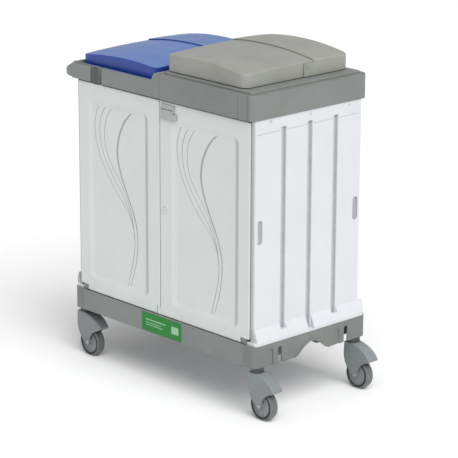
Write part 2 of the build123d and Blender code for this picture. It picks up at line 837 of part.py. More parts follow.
# ------------------------------------------------------------------ finger pull
pull_x0 = door_gap_x + 11.5
pull_width = 66.0
pull_lever_width = 76.0
pull_base_thickness = 4.0
pull_top = door_top - 8.0
pull_axis_z = pull_top - 22.0
pull_barrel_radius = 3.6
pull_axis_y = door_front_y - pull_barrel_radius - 0.7
pull_pin_radius = 1.5
pull_ear = 6.0
pull_lever_drop = 25.0

with BuildPart() as door_pull_base:
    with BuildSketch(Plane.XZ.offset(-door_front_y)):
        with Locations((pull_x0 + pull_width / 2, pull_top - 8)):
            RectangleRounded(pull_width, 16, 2)
    extrude(amount=pull_base_thickness)
    fillet(door_pull_base.faces().sort_by(Axis.Y)[0].edges(), 1.2)
    for ear_x in (pull_x0, pull_x0 + pull_width - pull_ear):
        with BuildSketch(Plane.YZ.offset(ear_x)):
            with Locations((pull_axis_y, pull_axis_z)):
                Circle(pull_barrel_radius + 0.4)
            with Locations((pull_axis_y + 0.15, pull_axis_z + 5)):
                Rectangle(2 * pull_barrel_radius + 0.7, 10)
            with Locations((pull_axis_y, pull_axis_z)):
                Circle(pull_pin_radius, mode=Mode.SUBTRACT)
        extrude(amount=pull_ear)
door_pull_base.part.label = "door_pull_base"
export_step(door_pull_base.part, "parts/door_pull_base.step")

barrel_x0 = pull_x0 + pull_ear + 0.4
barrel_length = pull_width - 2 * pull_ear - 0.8
lever_x0 = pull_x0 + 1.0
with BuildPart() as door_pull_lever:
    with BuildSketch(Plane.YZ.offset(barrel_x0)):
        with Locations((pull_axis_y, pull_axis_z)):
            Circle(pull_barrel_radius)
        with Locations((pull_axis_y, pull_axis_z - 5)):
            Rectangle(3, 10)
    extrude(amount=barrel_length)
    with BuildSketch(Plane.YZ.offset(lever_x0)):
        with BuildLine():
            Polyline(
                (pull_axis_y + 1.5, pull_axis_z - 6),
                (pull_axis_y + 1.5, pull_axis_z - pull_lever_drop),
                (pull_axis_y - 4.2, pull_axis_z - pull_lever_drop - 3),
                (pull_axis_y - 4.2, pull_axis_z - pull_lever_drop),
                (pull_axis_y - 1.5, pull_axis_z - pull_lever_drop + 6),
                (pull_axis_y - 1.5, pull_axis_z - 6),
                close=True,
            )
        make_face()
    extrude(amount=pull_lever_width)
    with BuildSketch(Plane.YZ.offset(barrel_x0)):
        with Locations((pull_axis_y, pull_axis_z)):
            Circle(pull_pin_radius + running_gap)
    extrude(amount=barrel_length, mode=Mode.SUBTRACT)
door_pull_lever.part.label = "door_pull_lever"
export_step(door_pull_lever.part, "parts/door_pull_lever.step")

with BuildPart() as door_pull_pin:
    with BuildSketch(Plane.YZ.offset(pull_x0)):
        with Locations((pull_axis_y, pull_axis_z)):
            Circle(pull_pin_radius)
    extrude(amount=pull_width)
door_pull_pin.part.label = "door_pull_pin"
export_step(door_pull_pin.part, "parts/door_pull_pin.step")

# ------------------------------------------------------------------ lock
lock_head = 2.5
lock_tail_radius = 3.0
lock_front = Plane.XZ.offset(-door_front_y)
lock_length = cam_y - contact - door_front_y
with BuildPart() as lock_housing:
    with BuildSketch(lock_front):
        with Locations((lock_x, lock_z)):
            Circle(lock_head_radius)
    extrude(amount=lock_head)
    fillet(lock_housing.faces().sort_by(Axis.Y)[0].edges(), 1)
    with BuildSketch(lock_front):
        with Locations((lock_x, lock_z)):
            Circle(lock_body_radius)
    extrude(amount=-lock_length)
    with BuildSketch(lock_front.offset(lock_head)):
        with Locations((lock_x, lock_z)):
            Circle(lock_plug_radius + running_gap)
    extrude(amount=-lock_length - lock_head, mode=Mode.SUBTRACT)
lock_housing.part.label = "lock_housing"
export_step(lock_housing.part, "parts/lock_housing.step")

with BuildPart() as lock_plug:
    with BuildSketch(lock_front.offset(lock_head - 0.4)):
        with Locations((lock_x, lock_z)):
            Circle(lock_plug_radius)
    extrude(amount=-lock_length - lock_head + 0.4)
    with BuildSketch(lock_front.offset(lock_head - 0.4)):
        with Locations((lock_x, lock_z)):
            Rectangle(1.6, 8)
    extrude(amount=-6, mode=Mode.SUBTRACT)
    with BuildSketch(lock_front.offset(-lock_length)):
        with Locations((lock_x, lock_z)):
            Circle(lock_tail_radius)
    extrude(amount=-cam_thickness - contact - 1)
lock_plug.part.label = "lock_plug"
export_step(lock_plug.part, "parts/lock_plug.step")

with BuildPart() as lock_cam:
    with BuildSketch(Plane.XZ.offset(-cam_y)):
        with Locations((lock_x, lock_z - lock_reach / 2 + cam_width / 4)):
            SlotOverall(lock_reach + cam_width / 2, cam_width, rotation=90)
        with Locations((lock_x, lock_z)):
            Circle(lock_tail_radius, mode=Mode.SUBTRACT)
    extrude(amount=-cam_thickness)
lock_cam.part.label = "lock_cam"
export_step(lock_cam.part, "parts/lock_cam.step")


# ================================================================== top mouldings
frame_open_x0 = frame_x0 + 48.0
frame_open_x1 = frame_x1 - 78.0
collar_open_x0 = collar_x0 + 24.0
collar_open_x1 = collar_x1 - 93.0
tongue_y = half_width - tongue
tongue_x1 = frame_x0 + tongue_length
boss_width = 22.0
boss_depth = 24.0
lug_gap = 0.5
lid_travel = (knuckle_width + lug_width) / 2 + lug_gap


def middle_box(x0, x1, half_y, corner=0.0):
    """Sketch rectangle from x0 to x1, centred on y = 0."""
    with Locations(((x0 + x1) / 2, 0)):
        if corner > 0:
            RectangleRounded(x1 - x0, 2 * half_y, corner)
        else:
            Rectangle(x1 - x0, 2 * half_y)


def hinge_centres(inner_x, direction):
    """X of the two rear hinges of a lid whose inner end stands at inner_x."""
    middle = inner_x + direction * lid_length / 2
    return (middle - knuckle_pitch / 2, middle + knuckle_pitch / 2)


def hinge_lugs(inner_x, direction, foot_z, pin_z):
    """Lugs that carry the rear pins of one lid, standing on a moulding."""
    with BuildPart() as lugs:
        for hinge_centre in hinge_centres(inner_x, direction):
            for lug_x in (hinge_centre - lid_travel, hinge_centre + lid_travel):
                with BuildSketch(Plane.YZ.offset(lug_x - lug_width / 2)):
                    with Locations((cover_hinge_y, pin_z)):
                        Circle(knuckle_radius)
                    with Locations((cover_hinge_y, (foot_z + pin_z) / 2)):
                        Rectangle(2 * knuckle_radius, pin_z - foot_z)
                    with Locations((cover_hinge_y, pin_z)):
                        Circle(flap_pin_radius, mode=Mode.SUBTRACT)
                extrude(amount=lug_width)
    return lugs.part


blue_hinge_z = blue_bottom + cover_hinge_rise
grey_hinge_z = grey_bottom + cover_hinge_rise

with BuildPart() as top_frame:
    with BuildSketch(Plane.XY.offset(cabinet_top)):
        middle_box(frame_x0, frame_x1, half_width, 3)
        with Locations((frame_x1 - 5, 0)):
            Rectangle(10, 2 * half_width)
    extrude(amount=frame_height)
    with BuildSketch(Plane.XZ.offset(half_width)):
        with BuildLine():
            Polyline(
                (frame_x1 - shoulder_width, frame_top - 1),
                (frame_x1 - shoulder_width, frame_top),
                (frame_x1 - shoulder_width + 14, frame_top + 25.5),
                (frame_x1 - shoulder_width + 20, cabinet_top + shoulder_top - 0.5),
                (frame_x1, cabinet_top + shoulder_top - 0.5),
                (frame_x1, frame_top - 1),
                close=True,
            )
        make_face()
    extrude(amount=-2 * half_width)
    fillet(top_frame.edges().group_by(Axis.Z)[-1].group_by(Axis.Y)[0], 2)
    with BuildSketch(Plane.XY.offset(frame_top)):
        middle_box(frame_x0 + rebate + 4, frame_x1 - shoulder_width, half_width - frame_wall, 12)
    extrude(amount=seat_frame - frame_top, mode=Mode.SUBTRACT)
    with BuildSketch(Plane.XY.offset(seat_frame)):
        middle_box(frame_open_x0 - rebate, frame_open_x1 + rebate, opening_y + rebate, 12)
    extrude(amount=-rebate, mode=Mode.SUBTRACT)
    with BuildSketch(Plane.XY.offset(seat_frame)):
        middle_box(frame_open_x0, frame_open_x1, opening_y, 8)
    extrude(amount=cabinet_top - seat_frame, mode=Mode.SUBTRACT)
    # hollow underside round the opening, with a solid boss over the left door's pivot
    with BuildSketch(Plane.XY.offset(cabinet_top)):
        middle_box(frame_x0 + frame_wall, frame_x1 - 50, tongue_y - 9)
        with Locations(((frame_open_x0 + frame_open_x1) / 2, 0)):
            Rectangle(
                frame_open_x1 - frame_open_x0 + 2 * moulding_wall,
                2 * (opening_y + moulding_wall),
                mode=Mode.SUBTRACT,
            )
        with Locations((-hinge_x, hinge_y)):
            Rectangle(boss_width, boss_depth, mode=Mode.SUBTRACT)
    extrude(amount=frame_ceiling - cabinet_top, mode=Mode.SUBTRACT)
    with BuildSketch(Plane.XZ.offset(tongue_y)):
        with BuildLine():
            Polyline(
                (frame_x1 - shoulder_width + 7, cabinet_top),
                (frame_x1 - shoulder_width + 7, frame_top + 1),
                (frame_x1 - shoulder_width + 18, frame_top + 20),
                (frame_x1 - 6, frame_top + 20),
                (frame_x1 - 6, cabinet_top),
                close=True,
            )
        make_face()
    extrude(amount=-2 * tongue_y, mode=Mode.SUBTRACT)
    with BuildSketch(Plane.XY.offset(cabinet_top)):
        with Locations((-hinge_x, hinge_y)):
            Circle(pivot_radius)
    extrude(amount=pin_seat, mode=Mode.SUBTRACT)
    # seats of the push handle's tongues, and the dark slot in each long face
    with BuildSketch(Plane.XY.offset(cabinet_top)):
        for side_y in (-1, 1):
            with Locations(((frame_x0 + tongue_x1 + tongue_gap) / 2, side_y * (half_width + tongue_y) / 2)):
                Rectangle(tongue_x1 + tongue_gap - frame_x0, tongue)
        for side_y in (-1, 1):
            with Locations((frame_x0 + groove_offset, side_y * (half_width - groove_depth / 2))):
                Rectangle(groove_width, groove_depth)
    extrude(amount=frame_height, mode=Mode.SUBTRACT)
    add(hinge_lugs(blue_inner_x, -1, seat_frame - 1, blue_hinge_z))
top_frame.part.label = "top_frame"
export_step(top_frame.part, "parts/top_frame.step")

handle_top = cabinet_top + handle_arm_height
bar_top = cabinet_top + handle_bar_height
handle_round = 9.0
arm_round = 3.0
arm_foot_x = handle_x0 + handle_bar + 14.0
with BuildPart() as push_handle:
    with BuildSketch(Plane.XY.offset(cabinet_top)) as ring:
        with Locations(((handle_x0 + frame_x0) / 2, 0)):
            Rectangle(frame_x0 - handle_x0, 2 * half_width)
        fillet(ring.vertices().sort_by(Axis.X)[:2], handle_corner)
        with BuildSketch(mode=Mode.SUBTRACT) as gap:
            with Locations(((handle_x0 + handle_bar + frame_x0) / 2, 0)):
                Rectangle(frame_x0 - handle_x0 - handle_bar, 2 * (half_width - handle_bar))
            fillet(gap.vertices().sort_by(Axis.X)[:2], min(handle_corner - handle_bar, 50))
    extrude(amount=handle_bar_height)
    rim = push_handle.edges().group_by(Axis.Z)[0] + push_handle.edges().group_by(Axis.Z)[-1]
    fillet(rim.filter_by(lambda e: e.center().X < frame_x0 - 1), handle_round)
    # the arms rise from the bar to the frame
    with BuildSketch(Plane.XZ.offset(half_width)):
        with BuildLine():
            Polyline(
                (frame_x0, handle_top),
                (arm_foot_x, bar_top - 1),
                (arm_foot_x, bar_top - handle_round - 2),
                (frame_x0, bar_top - handle_round - 2),
                close=True,
            )
        make_face()
    extrude(amount=-handle_bar)
    with BuildSketch(Plane.XZ.offset(-half_width)):
        with BuildLine():
            Polyline(
                (frame_x0, handle_top),
                (arm_foot_x, bar_top - 1),
                (arm_foot_x, bar_top - handle_round - 2),
                (frame_x0, bar_top - handle_round - 2),
                close=True,
            )
        make_face()
    extrude(amount=handle_bar)
    with BuildSketch(Plane.XY.offset(cabinet_top)) as limit:
        with Locations(((handle_x0 + frame_x0) / 2, 0)):
            Rectangle(frame_x0 - handle_x0, 2 * half_width)
        fillet(limit.vertices().sort_by(Axis.X)[:2], handle_corner)
    extrude(amount=handle_arm_height, mode=Mode.INTERSECT)
    crests = push_handle.edges().filter_by(lambda e: e.bounding_box().max.Z > bar_top + 12)
    fillet(crests.filter_by(lambda e: e.center().X < frame_x0 - 1), arm_round)
    with BuildSketch(Plane.XY.offset(cabinet_top)):
        for side_y in (-1, 1):
            with Locations(((frame_x0 + tongue_x1) / 2, side_y * (half_width + tongue_y) / 2)):
                Rectangle(tongue_length, tongue)
    extrude(amount=handle_arm_height)
push_handle.part.label = "push_handle"
export_step(push_handle.part, "parts/push_handle.step")

front_groove_x = 20.5
front_groove_width = 9.0
parting_line_x = 65.0
parting_line_width = 1.5
edge_nick = 6.0
edge_nick_places = (-203.0, 3.0, 122.0, 237.0)
collar_wall = 5.0
collar_round = 3.0
with BuildPart() as collar:
    with BuildSketch(Plane.XY.offset(cabinet_top)) as plan:
        middle_box(collar_x0, collar_x1, collar_y)
        fillet(plan.vertices().sort_by(Axis.X)[-2:], corner_radius_collar)
    extrude(amount=collar_height)
    top_edges = collar.edges().group_by(Axis.Z)[-1]
    fillet(top_edges.filter_by(lambda e: e.center().X > collar_x0 + 1), collar_round)
    with BuildSketch(Plane.XY.offset(collar_top)):
        middle_box(collar_x0 + 6, collar_x1 - collar_lip, collar_y - collar_lip, 10)
    extrude(amount=seat_rise_collar)
    fillet(collar.edges().group_by(Axis.Z)[-1], collar_round)
    with BuildSketch(Plane.XY.offset(seat_collar)):
        middle_box(collar_open_x0 - rebate, collar_open_x1 + rebate, opening_y + rebate, 12)
    extrude(amount=-rebate, mode=Mode.SUBTRACT)
    with BuildSketch(Plane.XY.offset(seat_collar)):
        middle_box(collar_open_x0, collar_open_x1, opening_y, 8)
    extrude(amount=cabinet_top - seat_collar, mode=Mode.SUBTRACT)
    with BuildSketch(Plane.XY.offset(cabinet_top)) as hollow:
        middle_box(collar_x0 + collar_wall, collar_x1 - collar_wall, collar_y - collar_wall)
        fillet(hollow.vertices().sort_by(Axis.X)[-2:], corner_radius_collar - collar_wall)
        with Locations(((collar_open_x0 + collar_open_x1) / 2, 0)):
            Rectangle(
                collar_open_x1 - collar_open_x0 + 2 * moulding_wall,
                2 * (opening_y + moulding_wall),
                mode=Mode.SUBTRACT,
            )
        with Locations((hinge_x, hinge_y)):
            Rectangle(boss_width, boss_depth + 6, mode=Mode.SUBTRACT)
    extrude(amount=collar_ceiling - cabinet_top, mode=Mode.SUBTRACT)
    with BuildSketch(Plane.XY.offset(cabinet_top)):
        with Locations((hinge_x, hinge_y)):
            Circle(pivot_radius)
    extrude(amount=pin_seat, mode=Mode.SUBTRACT)
    with BuildSketch(Plane.XY.offset(cabinet_top)):
        with Locations((collar_x1 - front_groove_x, -collar_y)):
            Rectangle(front_groove_width, 5)
        with Locations((collar_x1 - parting_line_x, -collar_y)):
            Rectangle(parting_line_width, 3)
    extrude(amount=collar_height, mode=Mode.SUBTRACT)
    with BuildSketch(Plane.XY.offset(collar_top)):
        for y in edge_nick_places:
            with Locations((collar_x1, y)):
                Rectangle(edge_nick, edge_nick)
    extrude(amount=-edge_nick / 2, mode=Mode.SUBTRACT)
    add(hinge_lugs(grey_inner_x, 1, collar_top - 1, grey_hinge_z))
collar.part.label = "collar"
export_step(collar.part, "parts/collar.step")

bag_fit = 0.5
bag_land = 14.0
bag_lip = 20.0
bag_lip_wall = 3.0
for name, open_x0, open_x1, seat_z in (
    ("bag_frame_left", frame_open_x0, frame_open_x1, seat_frame),
    ("bag_frame_right", collar_open_x0, collar_open_x1, seat_collar),
):
    ring_x0 = open_x0 - rebate + bag_fit
    ring_x1 = open_x1 + rebate - bag_fit
    ring_y = opening_y + rebate - bag_fit
    with BuildPart() as bag_frame:
        with BuildSketch(Plane.XY.offset(seat_z - rebate)):
            middle_box(ring_x0, ring_x1, ring_y, 11.5)
        extrude(amount=rebate)
        with BuildSketch(Plane.XY.offset(seat_z - rebate)):
            middle_box(
                ring_x0 + bag_land - bag_lip_wall,
                ring_x1 - bag_land + bag_lip_wall,
                ring_y - bag_land + bag_lip_wall,
                7,
            )
        extrude(amount=-bag_lip)
        with BuildSketch(Plane.XY.offset(seat_z)):
            middle_box(ring_x0 + bag_land, ring_x1 - bag_land, ring_y - bag_land, 4)
        extrude(amount=-rebate - bag_lip, mode=Mode.SUBTRACT)
        fillet(bag_frame.edges().group_by(Axis.Z)[-1], 1.5)
    bag_frame.part.label = name
    export_step(bag_frame.part, f"parts/{name}.step")


# ================================================================== lids
lid_half_depth = lid_depth / 2
lid_crown_at = 120.0
lid_sections = (
    (-1.0, 52.0, 60.0, 41.0),
    (-0.34, 58.0, 67.0, 48.0),
    (0.34, 60.0, 69.0, 49.0),
    (1.0, 53.0, 66.0, 44.0),
)


def lid_form(inner_x, direction, bottom, grow, rise):
    """Pillowed outside of a lid: four arched sections from front to rear, rounded in plan."""
    x_in = inner_x - direction * (grow + section_margin)
    x_crown = inner_x + direction * lid_crown_at
    x_out = inner_x + direction * (lid_length + grow + section_margin)
    with BuildPart() as pillow:
        for share, h_in, h_crown, h_out in lid_sections:
            y = share * (lid_half_depth + grow + section_margin)
            with BuildSketch(Plane.XZ.offset(-y)):
                with BuildLine():
                    Polyline(
                        (x_in, bottom + h_in + rise),
                        (x_in, bottom - section_margin),
                        (x_out, bottom - section_margin),
                        (x_out, bottom + h_out + rise),
                    )
                    ThreePointArc(
                        (x_out, bottom + h_out + rise),
                        (x_crown, bottom + h_crown + rise),
                        (x_in, bottom + h_in + rise),
                    )
                make_face()
        loft()
        with BuildSketch(Plane.XY.offset(bottom)):
            with Locations(((x_in + x_out) / 2, 0)):
                RectangleRounded(lid_length + 2 * grow, lid_depth + 2 * grow, lid_corner + grow)
        extrude(amount=100, mode=Mode.INTERSECT)
        rim = pillow.edges().filter_by(lambda e: e.bounding_box().min.Z > bottom + 20)
        fillet(rim, lid_edge_round + grow)
    return pillow.part


def lid_shell(inner_x, direction, bottom, grow, rise):
    """Open-bottomed shell of a lid, one wall thick."""
    with BuildPart() as shell:
        add(lid_form(inner_x, direction, bottom, grow, rise))
        add(lid_form(inner_x, direction, bottom, grow - lid_wall, rise - lid_wall), mode=Mode.SUBTRACT)
    return shell.part


def lid_pieces(inner_x, direction, bottom):
    """Front flap, rear cover and the two flap pins of one lid."""
    hinge_z = bottom + flap_hinge_rise
    pin_z = bottom + cover_hinge_rise
    x_in = inner_x - direction * cover_margin
    x_out = inner_x + direction * (lid_length + cover_margin)
    mid_x = (x_in + x_out) / 2
    span = lid_length + 4 * cover_margin
    with BuildPart() as flap:
        add(lid_shell(inner_x, direction, bottom, 0, 0))
        with BuildSketch(Plane.YZ.offset(mid_x - span / 2)):
            with Locations((crease_y + flap_tail + lid_depth / 2, bottom + lid_depth / 2)):
                Rectangle(lid_depth, 2 * lid_depth)
            with Locations((skirt_end_y + lid_depth / 2, bottom + flap_sheet_rise - lid_depth / 2)):
                Rectangle(lid_depth, lid_depth)
        extrude(amount=span, mode=Mode.SUBTRACT)
        for wall_x, inward in ((inner_x, direction), (inner_x + direction * lid_length, -direction)):
            with BuildSketch(Plane.YZ.offset(wall_x)):
                with Locations((flap_hinge_y, hinge_z)):
                    Circle(flap_boss_radius)
            extrude(amount=inward * flap_boss)
            with BuildSketch(Plane.YZ.offset(wall_x - inward)):
                with Locations((flap_hinge_y, hinge_z)):
                    Circle(flap_pin_radius + running_gap)
            extrude(amount=inward * (flap_boss + 2), mode=Mode.SUBTRACT)
    with BuildPart() as cover:
        add(lid_shell(inner_x, direction, bottom, cover_margin, cover_raise))
        with BuildSketch(Plane.YZ.offset(mid_x - span / 2)):
            with Locations((crease_y - lid_depth / 2, bottom + lid_depth / 2)):
                Rectangle(lid_depth, 2 * lid_depth)
            with Locations((crease_y - ear_reach / 2, bottom + ear_rise / 2)):
                Rectangle(ear_reach, ear_rise, mode=Mode.SUBTRACT)
        extrude(amount=span, mode=Mode.SUBTRACT)
        for wall_x, inward in ((x_in, direction), (x_out, -direction)):
            with BuildSketch(Plane.YZ.offset(wall_x)):
                with Locations((flap_hinge_y, hinge_z)):
                    Circle(flap_pin_radius)
            extrude(amount=inward * lid_wall, mode=Mode.SUBTRACT)
        for hinge_centre in hinge_centres(inner_x, direction):
            with BuildSketch(Plane.YZ.offset(hinge_centre - knuckle_width / 2)):
                with Locations((cover_hinge_y, pin_z)):
                    Circle(knuckle_radius)
                with Locations(((cover_rear_y - lid_wall / 2 + cover_hinge_y) / 2, pin_z)):
                    Rectangle(cover_hinge_y - cover_rear_y + lid_wall / 2, 2 * knuckle_radius)
                with Locations((cover_hinge_y, pin_z)):
                    Circle(flap_pin_radius + running_gap, mode=Mode.SUBTRACT)
            extrude(amount=knuckle_width)
    with BuildPart() as pins:
        for wall_x, inward in ((x_in, direction), (x_out, -direction)):
            with BuildSketch(Plane.YZ.offset(wall_x)):
                with Locations((flap_hinge_y, hinge_z)):
                    Circle(pin_head_radius)
            extrude(amount=-inward * pin_head)
            with BuildSketch(Plane.YZ.offset(wall_x)):
                with Locations((flap_hinge_y, hinge_z)):
                    Circle(flap_pin_radius)
            extrude(amount=inward * (cover_margin + flap_boss))
    return flap.part, cover.part, pins.part


section_margin = 2.0
flap_tail = 8.0
skirt_end_y = flap_hinge_y + 10.0
flap_sheet_rise = 38.0
flap_boss_radius = 9.0
flap_boss = 7.0
ear_reach = crease_y - flap_hinge_y + 14.0
ear_rise = 44.0
pin_head_radius = 6.0
pin_head = 2.0

for colour, inner_x, direction, bottom in (
    ("blue", blue_inner_x, -1, blue_bottom),
    ("grey", grey_inner_x, 1, grey_bottom),
):
    flap_piece, cover_piece, pin_piece = lid_pieces(inner_x, direction, bottom)
    flap_piece.label = f"{colour}_lid_flap"
    export_step(flap_piece, f"parts/{colour}_lid_flap.step")
    cover_piece.label = f"{colour}_lid_cover"
    export_step(cover_piece, f"parts/{colour}_lid_cover.step")
    pin_piece.label = f"{colour}_flap_pins"
    export_step(pin_piece, f"parts/{colour}_flap_pins.step")

hinge_pin_length = 32.0
with BuildPart() as lid_hinge_pins:
    for inner_x, direction, pin_z in (
        (blue_inner_x, -1, blue_hinge_z),
        (grey_inner_x, 1, grey_hinge_z),
    ):
        for hinge_centre in hinge_centres(inner_x, direction):
            with BuildSketch(Plane.YZ.offset(hinge_centre - hinge_pin_length / 2)):
                with Locations((cover_hinge_y, pin_z)):
                    Circle(flap_pin_radius)
            extrude(amount=hinge_pin_length)
lid_hinge_pins.part.label = "lid_hinge_pins"
export_step(lid_hinge_pins.part, "parts/lid_hinge_pins.step")
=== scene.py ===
import math

import bpy
import bmesh
from mathutils import Matrix, Vector


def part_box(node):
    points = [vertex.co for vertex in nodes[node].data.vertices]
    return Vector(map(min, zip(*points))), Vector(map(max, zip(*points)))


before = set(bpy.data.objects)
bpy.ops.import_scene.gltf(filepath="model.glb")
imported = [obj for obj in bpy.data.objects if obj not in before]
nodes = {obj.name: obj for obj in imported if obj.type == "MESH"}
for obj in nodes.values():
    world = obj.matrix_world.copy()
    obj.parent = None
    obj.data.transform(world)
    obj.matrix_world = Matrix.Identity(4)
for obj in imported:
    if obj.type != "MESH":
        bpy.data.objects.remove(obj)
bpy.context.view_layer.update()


# ------------------------------------------------------------------ colours (linear)
FRAME_GREY = (0.215, 0.232, 0.228)
COLLAR_GREY = (0.208, 0.220, 0.210)
LID_GREY = (0.315, 0.322, 0.295)
LID_BLUE = (0.014, 0.052, 0.330)
DOOR_WHITE = (0.665, 0.70, 0.69)
PANEL_WHITE = (0.665, 0.680, 0.705)
WAVE_SHADE_GREY = (0.36, 0.38, 0.39)
CASTER_GREY = (0.235, 0.255, 0.262)
TREAD_GREY = (0.165, 0.178, 0.186)
TREAD_DIRT = (0.11, 0.11, 0.105)
RING_BLACK = (0.018, 0.020, 0.022)
LID_BLUE_SHEEN = (0.10, 0.195, 0.48)
BASE_END_GREY = (0.185, 0.200, 0.190)
SLOPE_SHADE = (0.47, 0.50, 0.49)
CORNER_SHADE = (0.36, 0.39, 0.38)
LABEL_GREEN = (0.022, 0.215, 0.036)
LABEL_MARKS = (0.32, 0.55, 0.34)
PANEL_SHADE = (0.30, 0.307, 0.325)
TUBE_GAP_SHADE = (0.060, 0.063, 0.065)
FRAME_SLOT_SHADE = (0.075, 0.080, 0.080)
BRACKET_GREY = (0.22, 0.23, 0.23)
PULL_GREY = (0.40, 0.41, 0.41)
BAG_FRAME_BLACK = (0.03, 0.03, 0.033)
CATCH_BLACK = (0.02, 0.02, 0.02)
FERRITE_GREY = (0.05, 0.05, 0.055)
ZINC = (0.42, 0.43, 0.44)
DARK_ZINC = (0.10, 0.105, 0.11)
BRIGHT_ALLOY = (0.72, 0.73, 0.74)
FLOOR_LOW = (0.95, 0.95, 0.95)
FLOOR_HIGH = (0.97, 0.97, 0.97)


# ------------------------------------------------------------------ node helpers
class Nodes:
    """Small helper around one material's node tree."""

    def __init__(self, name):
        self.mat = bpy.data.materials.new(name)
        self.mat.use_nodes = True
        self.tree = self.mat.node_tree
        self.shader = self.tree.nodes["Principled BSDF"]
        self.coords = self.new("ShaderNodeTexCoord").outputs["Object"]

    def new(self, kind, **props):
        node = self.tree.nodes.new(kind)
        for key, value in props.items():
            setattr(node, key, value)
        return node

    def link(self, source, target):
        self.tree.links.new(source, target)

    def noise(self, scale, detail=3.0, rough=0.55, stretch=None, vector=None):
        node = self.new("ShaderNodeTexNoise")
        node.inputs["Scale"].default_value = scale
        node.inputs["Detail"].default_value = detail
        node.inputs["Roughness"].default_value = rough
        source = vector or self.coords
        if stretch:
            mapping = self.new("ShaderNodeMapping")
            mapping.inputs["Scale"].default_value = stretch
            self.link(source, mapping.inputs["Vector"])
            source = mapping.outputs["Vector"]
        self.link(source, node.inputs["Vector"])
        return node.outputs["Fac"]

    def ramp(self, value, low, high, out_low=0.0, out_high=1.0, smooth=False):
        node = self.new("ShaderNodeMapRange")
        if smooth:
            node.interpolation_type = "SMOOTHSTEP"
        node.inputs["From Min"].default_value = low
        node.inputs["From Max"].default_value = high
        node.inputs["To Min"].default_value = out_low
        node.inputs["To Max"].default_value = out_high
        self.link(value, node.inputs["Value"])
        return node.outputs["Result"]

    def math(self, operation, a, b=None):
        node = self.new("ShaderNodeMath", operation=operation)
        for socket, value in zip(node.inputs, (a, b)):
            if value is None:
                continue
            if hasattr(value, "links"):
                self.link(value, socket)
            else:
                socket.default_value = value
        return node.outputs["Value"]

    def mix(self, factor, a, b, blend="MIX"):
        node = self.new("ShaderNodeMix", data_type="RGBA", blend_type=blend)
        for socket, value in ((node.inputs[0], factor), (node.inputs[6], a), (node.inputs[7], b)):
            if hasattr(value, "links"):
                self.link(value, socket)
            elif isinstance(value, (int, float)):
                socket.default_value = value
            else:
                socket.default_value = (*value, 1.0)
        return node.outputs[2]

    def axis(self, name, vector=None):
        node = self.new("ShaderNodeSeparateXYZ")
        self.link(vector or self.coords, node.inputs["Vector"])
        return node.outputs[name]

    def edges(self, radius=0.004):
        """Where a convex edge is close: bevelled normal against the flat one."""
        bevel = self.new("ShaderNodeBevel", samples=4)
        bevel.inputs["Radius"].default_value = radius
        geometry = self.new("ShaderNodeNewGeometry")
        dot = self.new("ShaderNodeVectorMath", operation="DOT_PRODUCT")
        self.link(bevel.outputs["Normal"], dot.inputs[0])
        self.link(geometry.outputs["Normal"], dot.inputs[1])
        return self.ramp(dot.outputs["Value"], 0.99, 0.85, 0.0, 1.0)

    def bump(self, height, strength, distance, normal=None):
        node = self.new("ShaderNodeBump")
        node.inputs["Strength"].default_value = strength
        node.inputs["Distance"].default_value = distance
        self.link(height, node.inputs["Height"])
        if normal is not None:
            self.link(normal, node.inputs["Normal"])
        return node.outputs["Normal"]

    def facing(self, name):
        """One component of the true normal."""
        geometry = self.new("ShaderNodeNewGeometry")
        return self.axis(name, geometry.outputs["Normal"])

    def tint(self, amount, colour):
        """Mix a colour over what the base colour is so far."""
        old = self.shader.inputs["Base Color"].links[0].from_socket
        self.link(self.mix(amount, old, colour), self.shader.inputs["Base Color"])

    def rounded(self, radius=0.0015):
        bevel = self.new("ShaderNodeBevel", samples=4)
        bevel.inputs["Radius"].default_value = radius
        return bevel.outputs["Normal"]


def plastic(name, colour, rough=0.42, grain=0.25, grain_scale=900.0, mottle=0.05, wear_and_highlight=0.12,
            round_radius=0.0015, dirt_below=None, specular=0.45):
    """Moulded plastic: fine spark-eroded grain, faint flow mottling, and scuffed edges painted paler,
    which stand for wear and, where raised, for painted edge highlights.
    """
    n = Nodes(name)
    cloud = n.noise(7.0, 4.0, 0.6)
    fine = n.noise(grain_scale, 2.0, 0.5)
    scuff = n.noise(60.0, 5.0, 0.65, stretch=(1.0, 1.0, 3.0))
    darker = tuple(c * (1 - 2 * mottle) for c in colour)
    lighter = tuple(min(1.0, c * (1 + mottle)) for c in colour)
    base = n.mix(n.ramp(cloud, 0.35, 0.65), darker, lighter)
    edge = n.math("MULTIPLY", n.edges(), n.ramp(scuff, 0.45, 0.62))
    worn_or_lit = tuple(min(1.0, c * 1.25 + 0.03) for c in colour)
    base = n.mix(n.math("MULTIPLY", edge, wear_and_highlight * 3), base, worn_or_lit)
    if dirt_below is not None:
        z = n.axis("Z")
        low = n.ramp(z, dirt_below[0], dirt_below[1], 1.0, 0.0, smooth=True)
        amount = n.math("MULTIPLY", low, n.ramp(n.noise(25.0, 5.0, 0.7), 0.4, 0.8, 0.0, dirt_below[2]))
        base = n.mix(amount, base, tuple(c * 0.55 for c in colour))
    n.link(base, n.shader.inputs["Base Color"])
    wave = n.math("ADD", n.ramp(scuff, 0.2, 0.8, -0.06, 0.08), n.ramp(cloud, 0.3, 0.7, -0.04, 0.04))
    n.link(n.math("ADD", wave, rough), n.shader.inputs["Roughness"])
    normal = n.bump(fine, grain, 0.0004, n.rounded(round_radius))
    n.link(normal, n.shader.inputs["Normal"])
    n.shader.inputs["Specular IOR Level"].default_value = specular
    return n


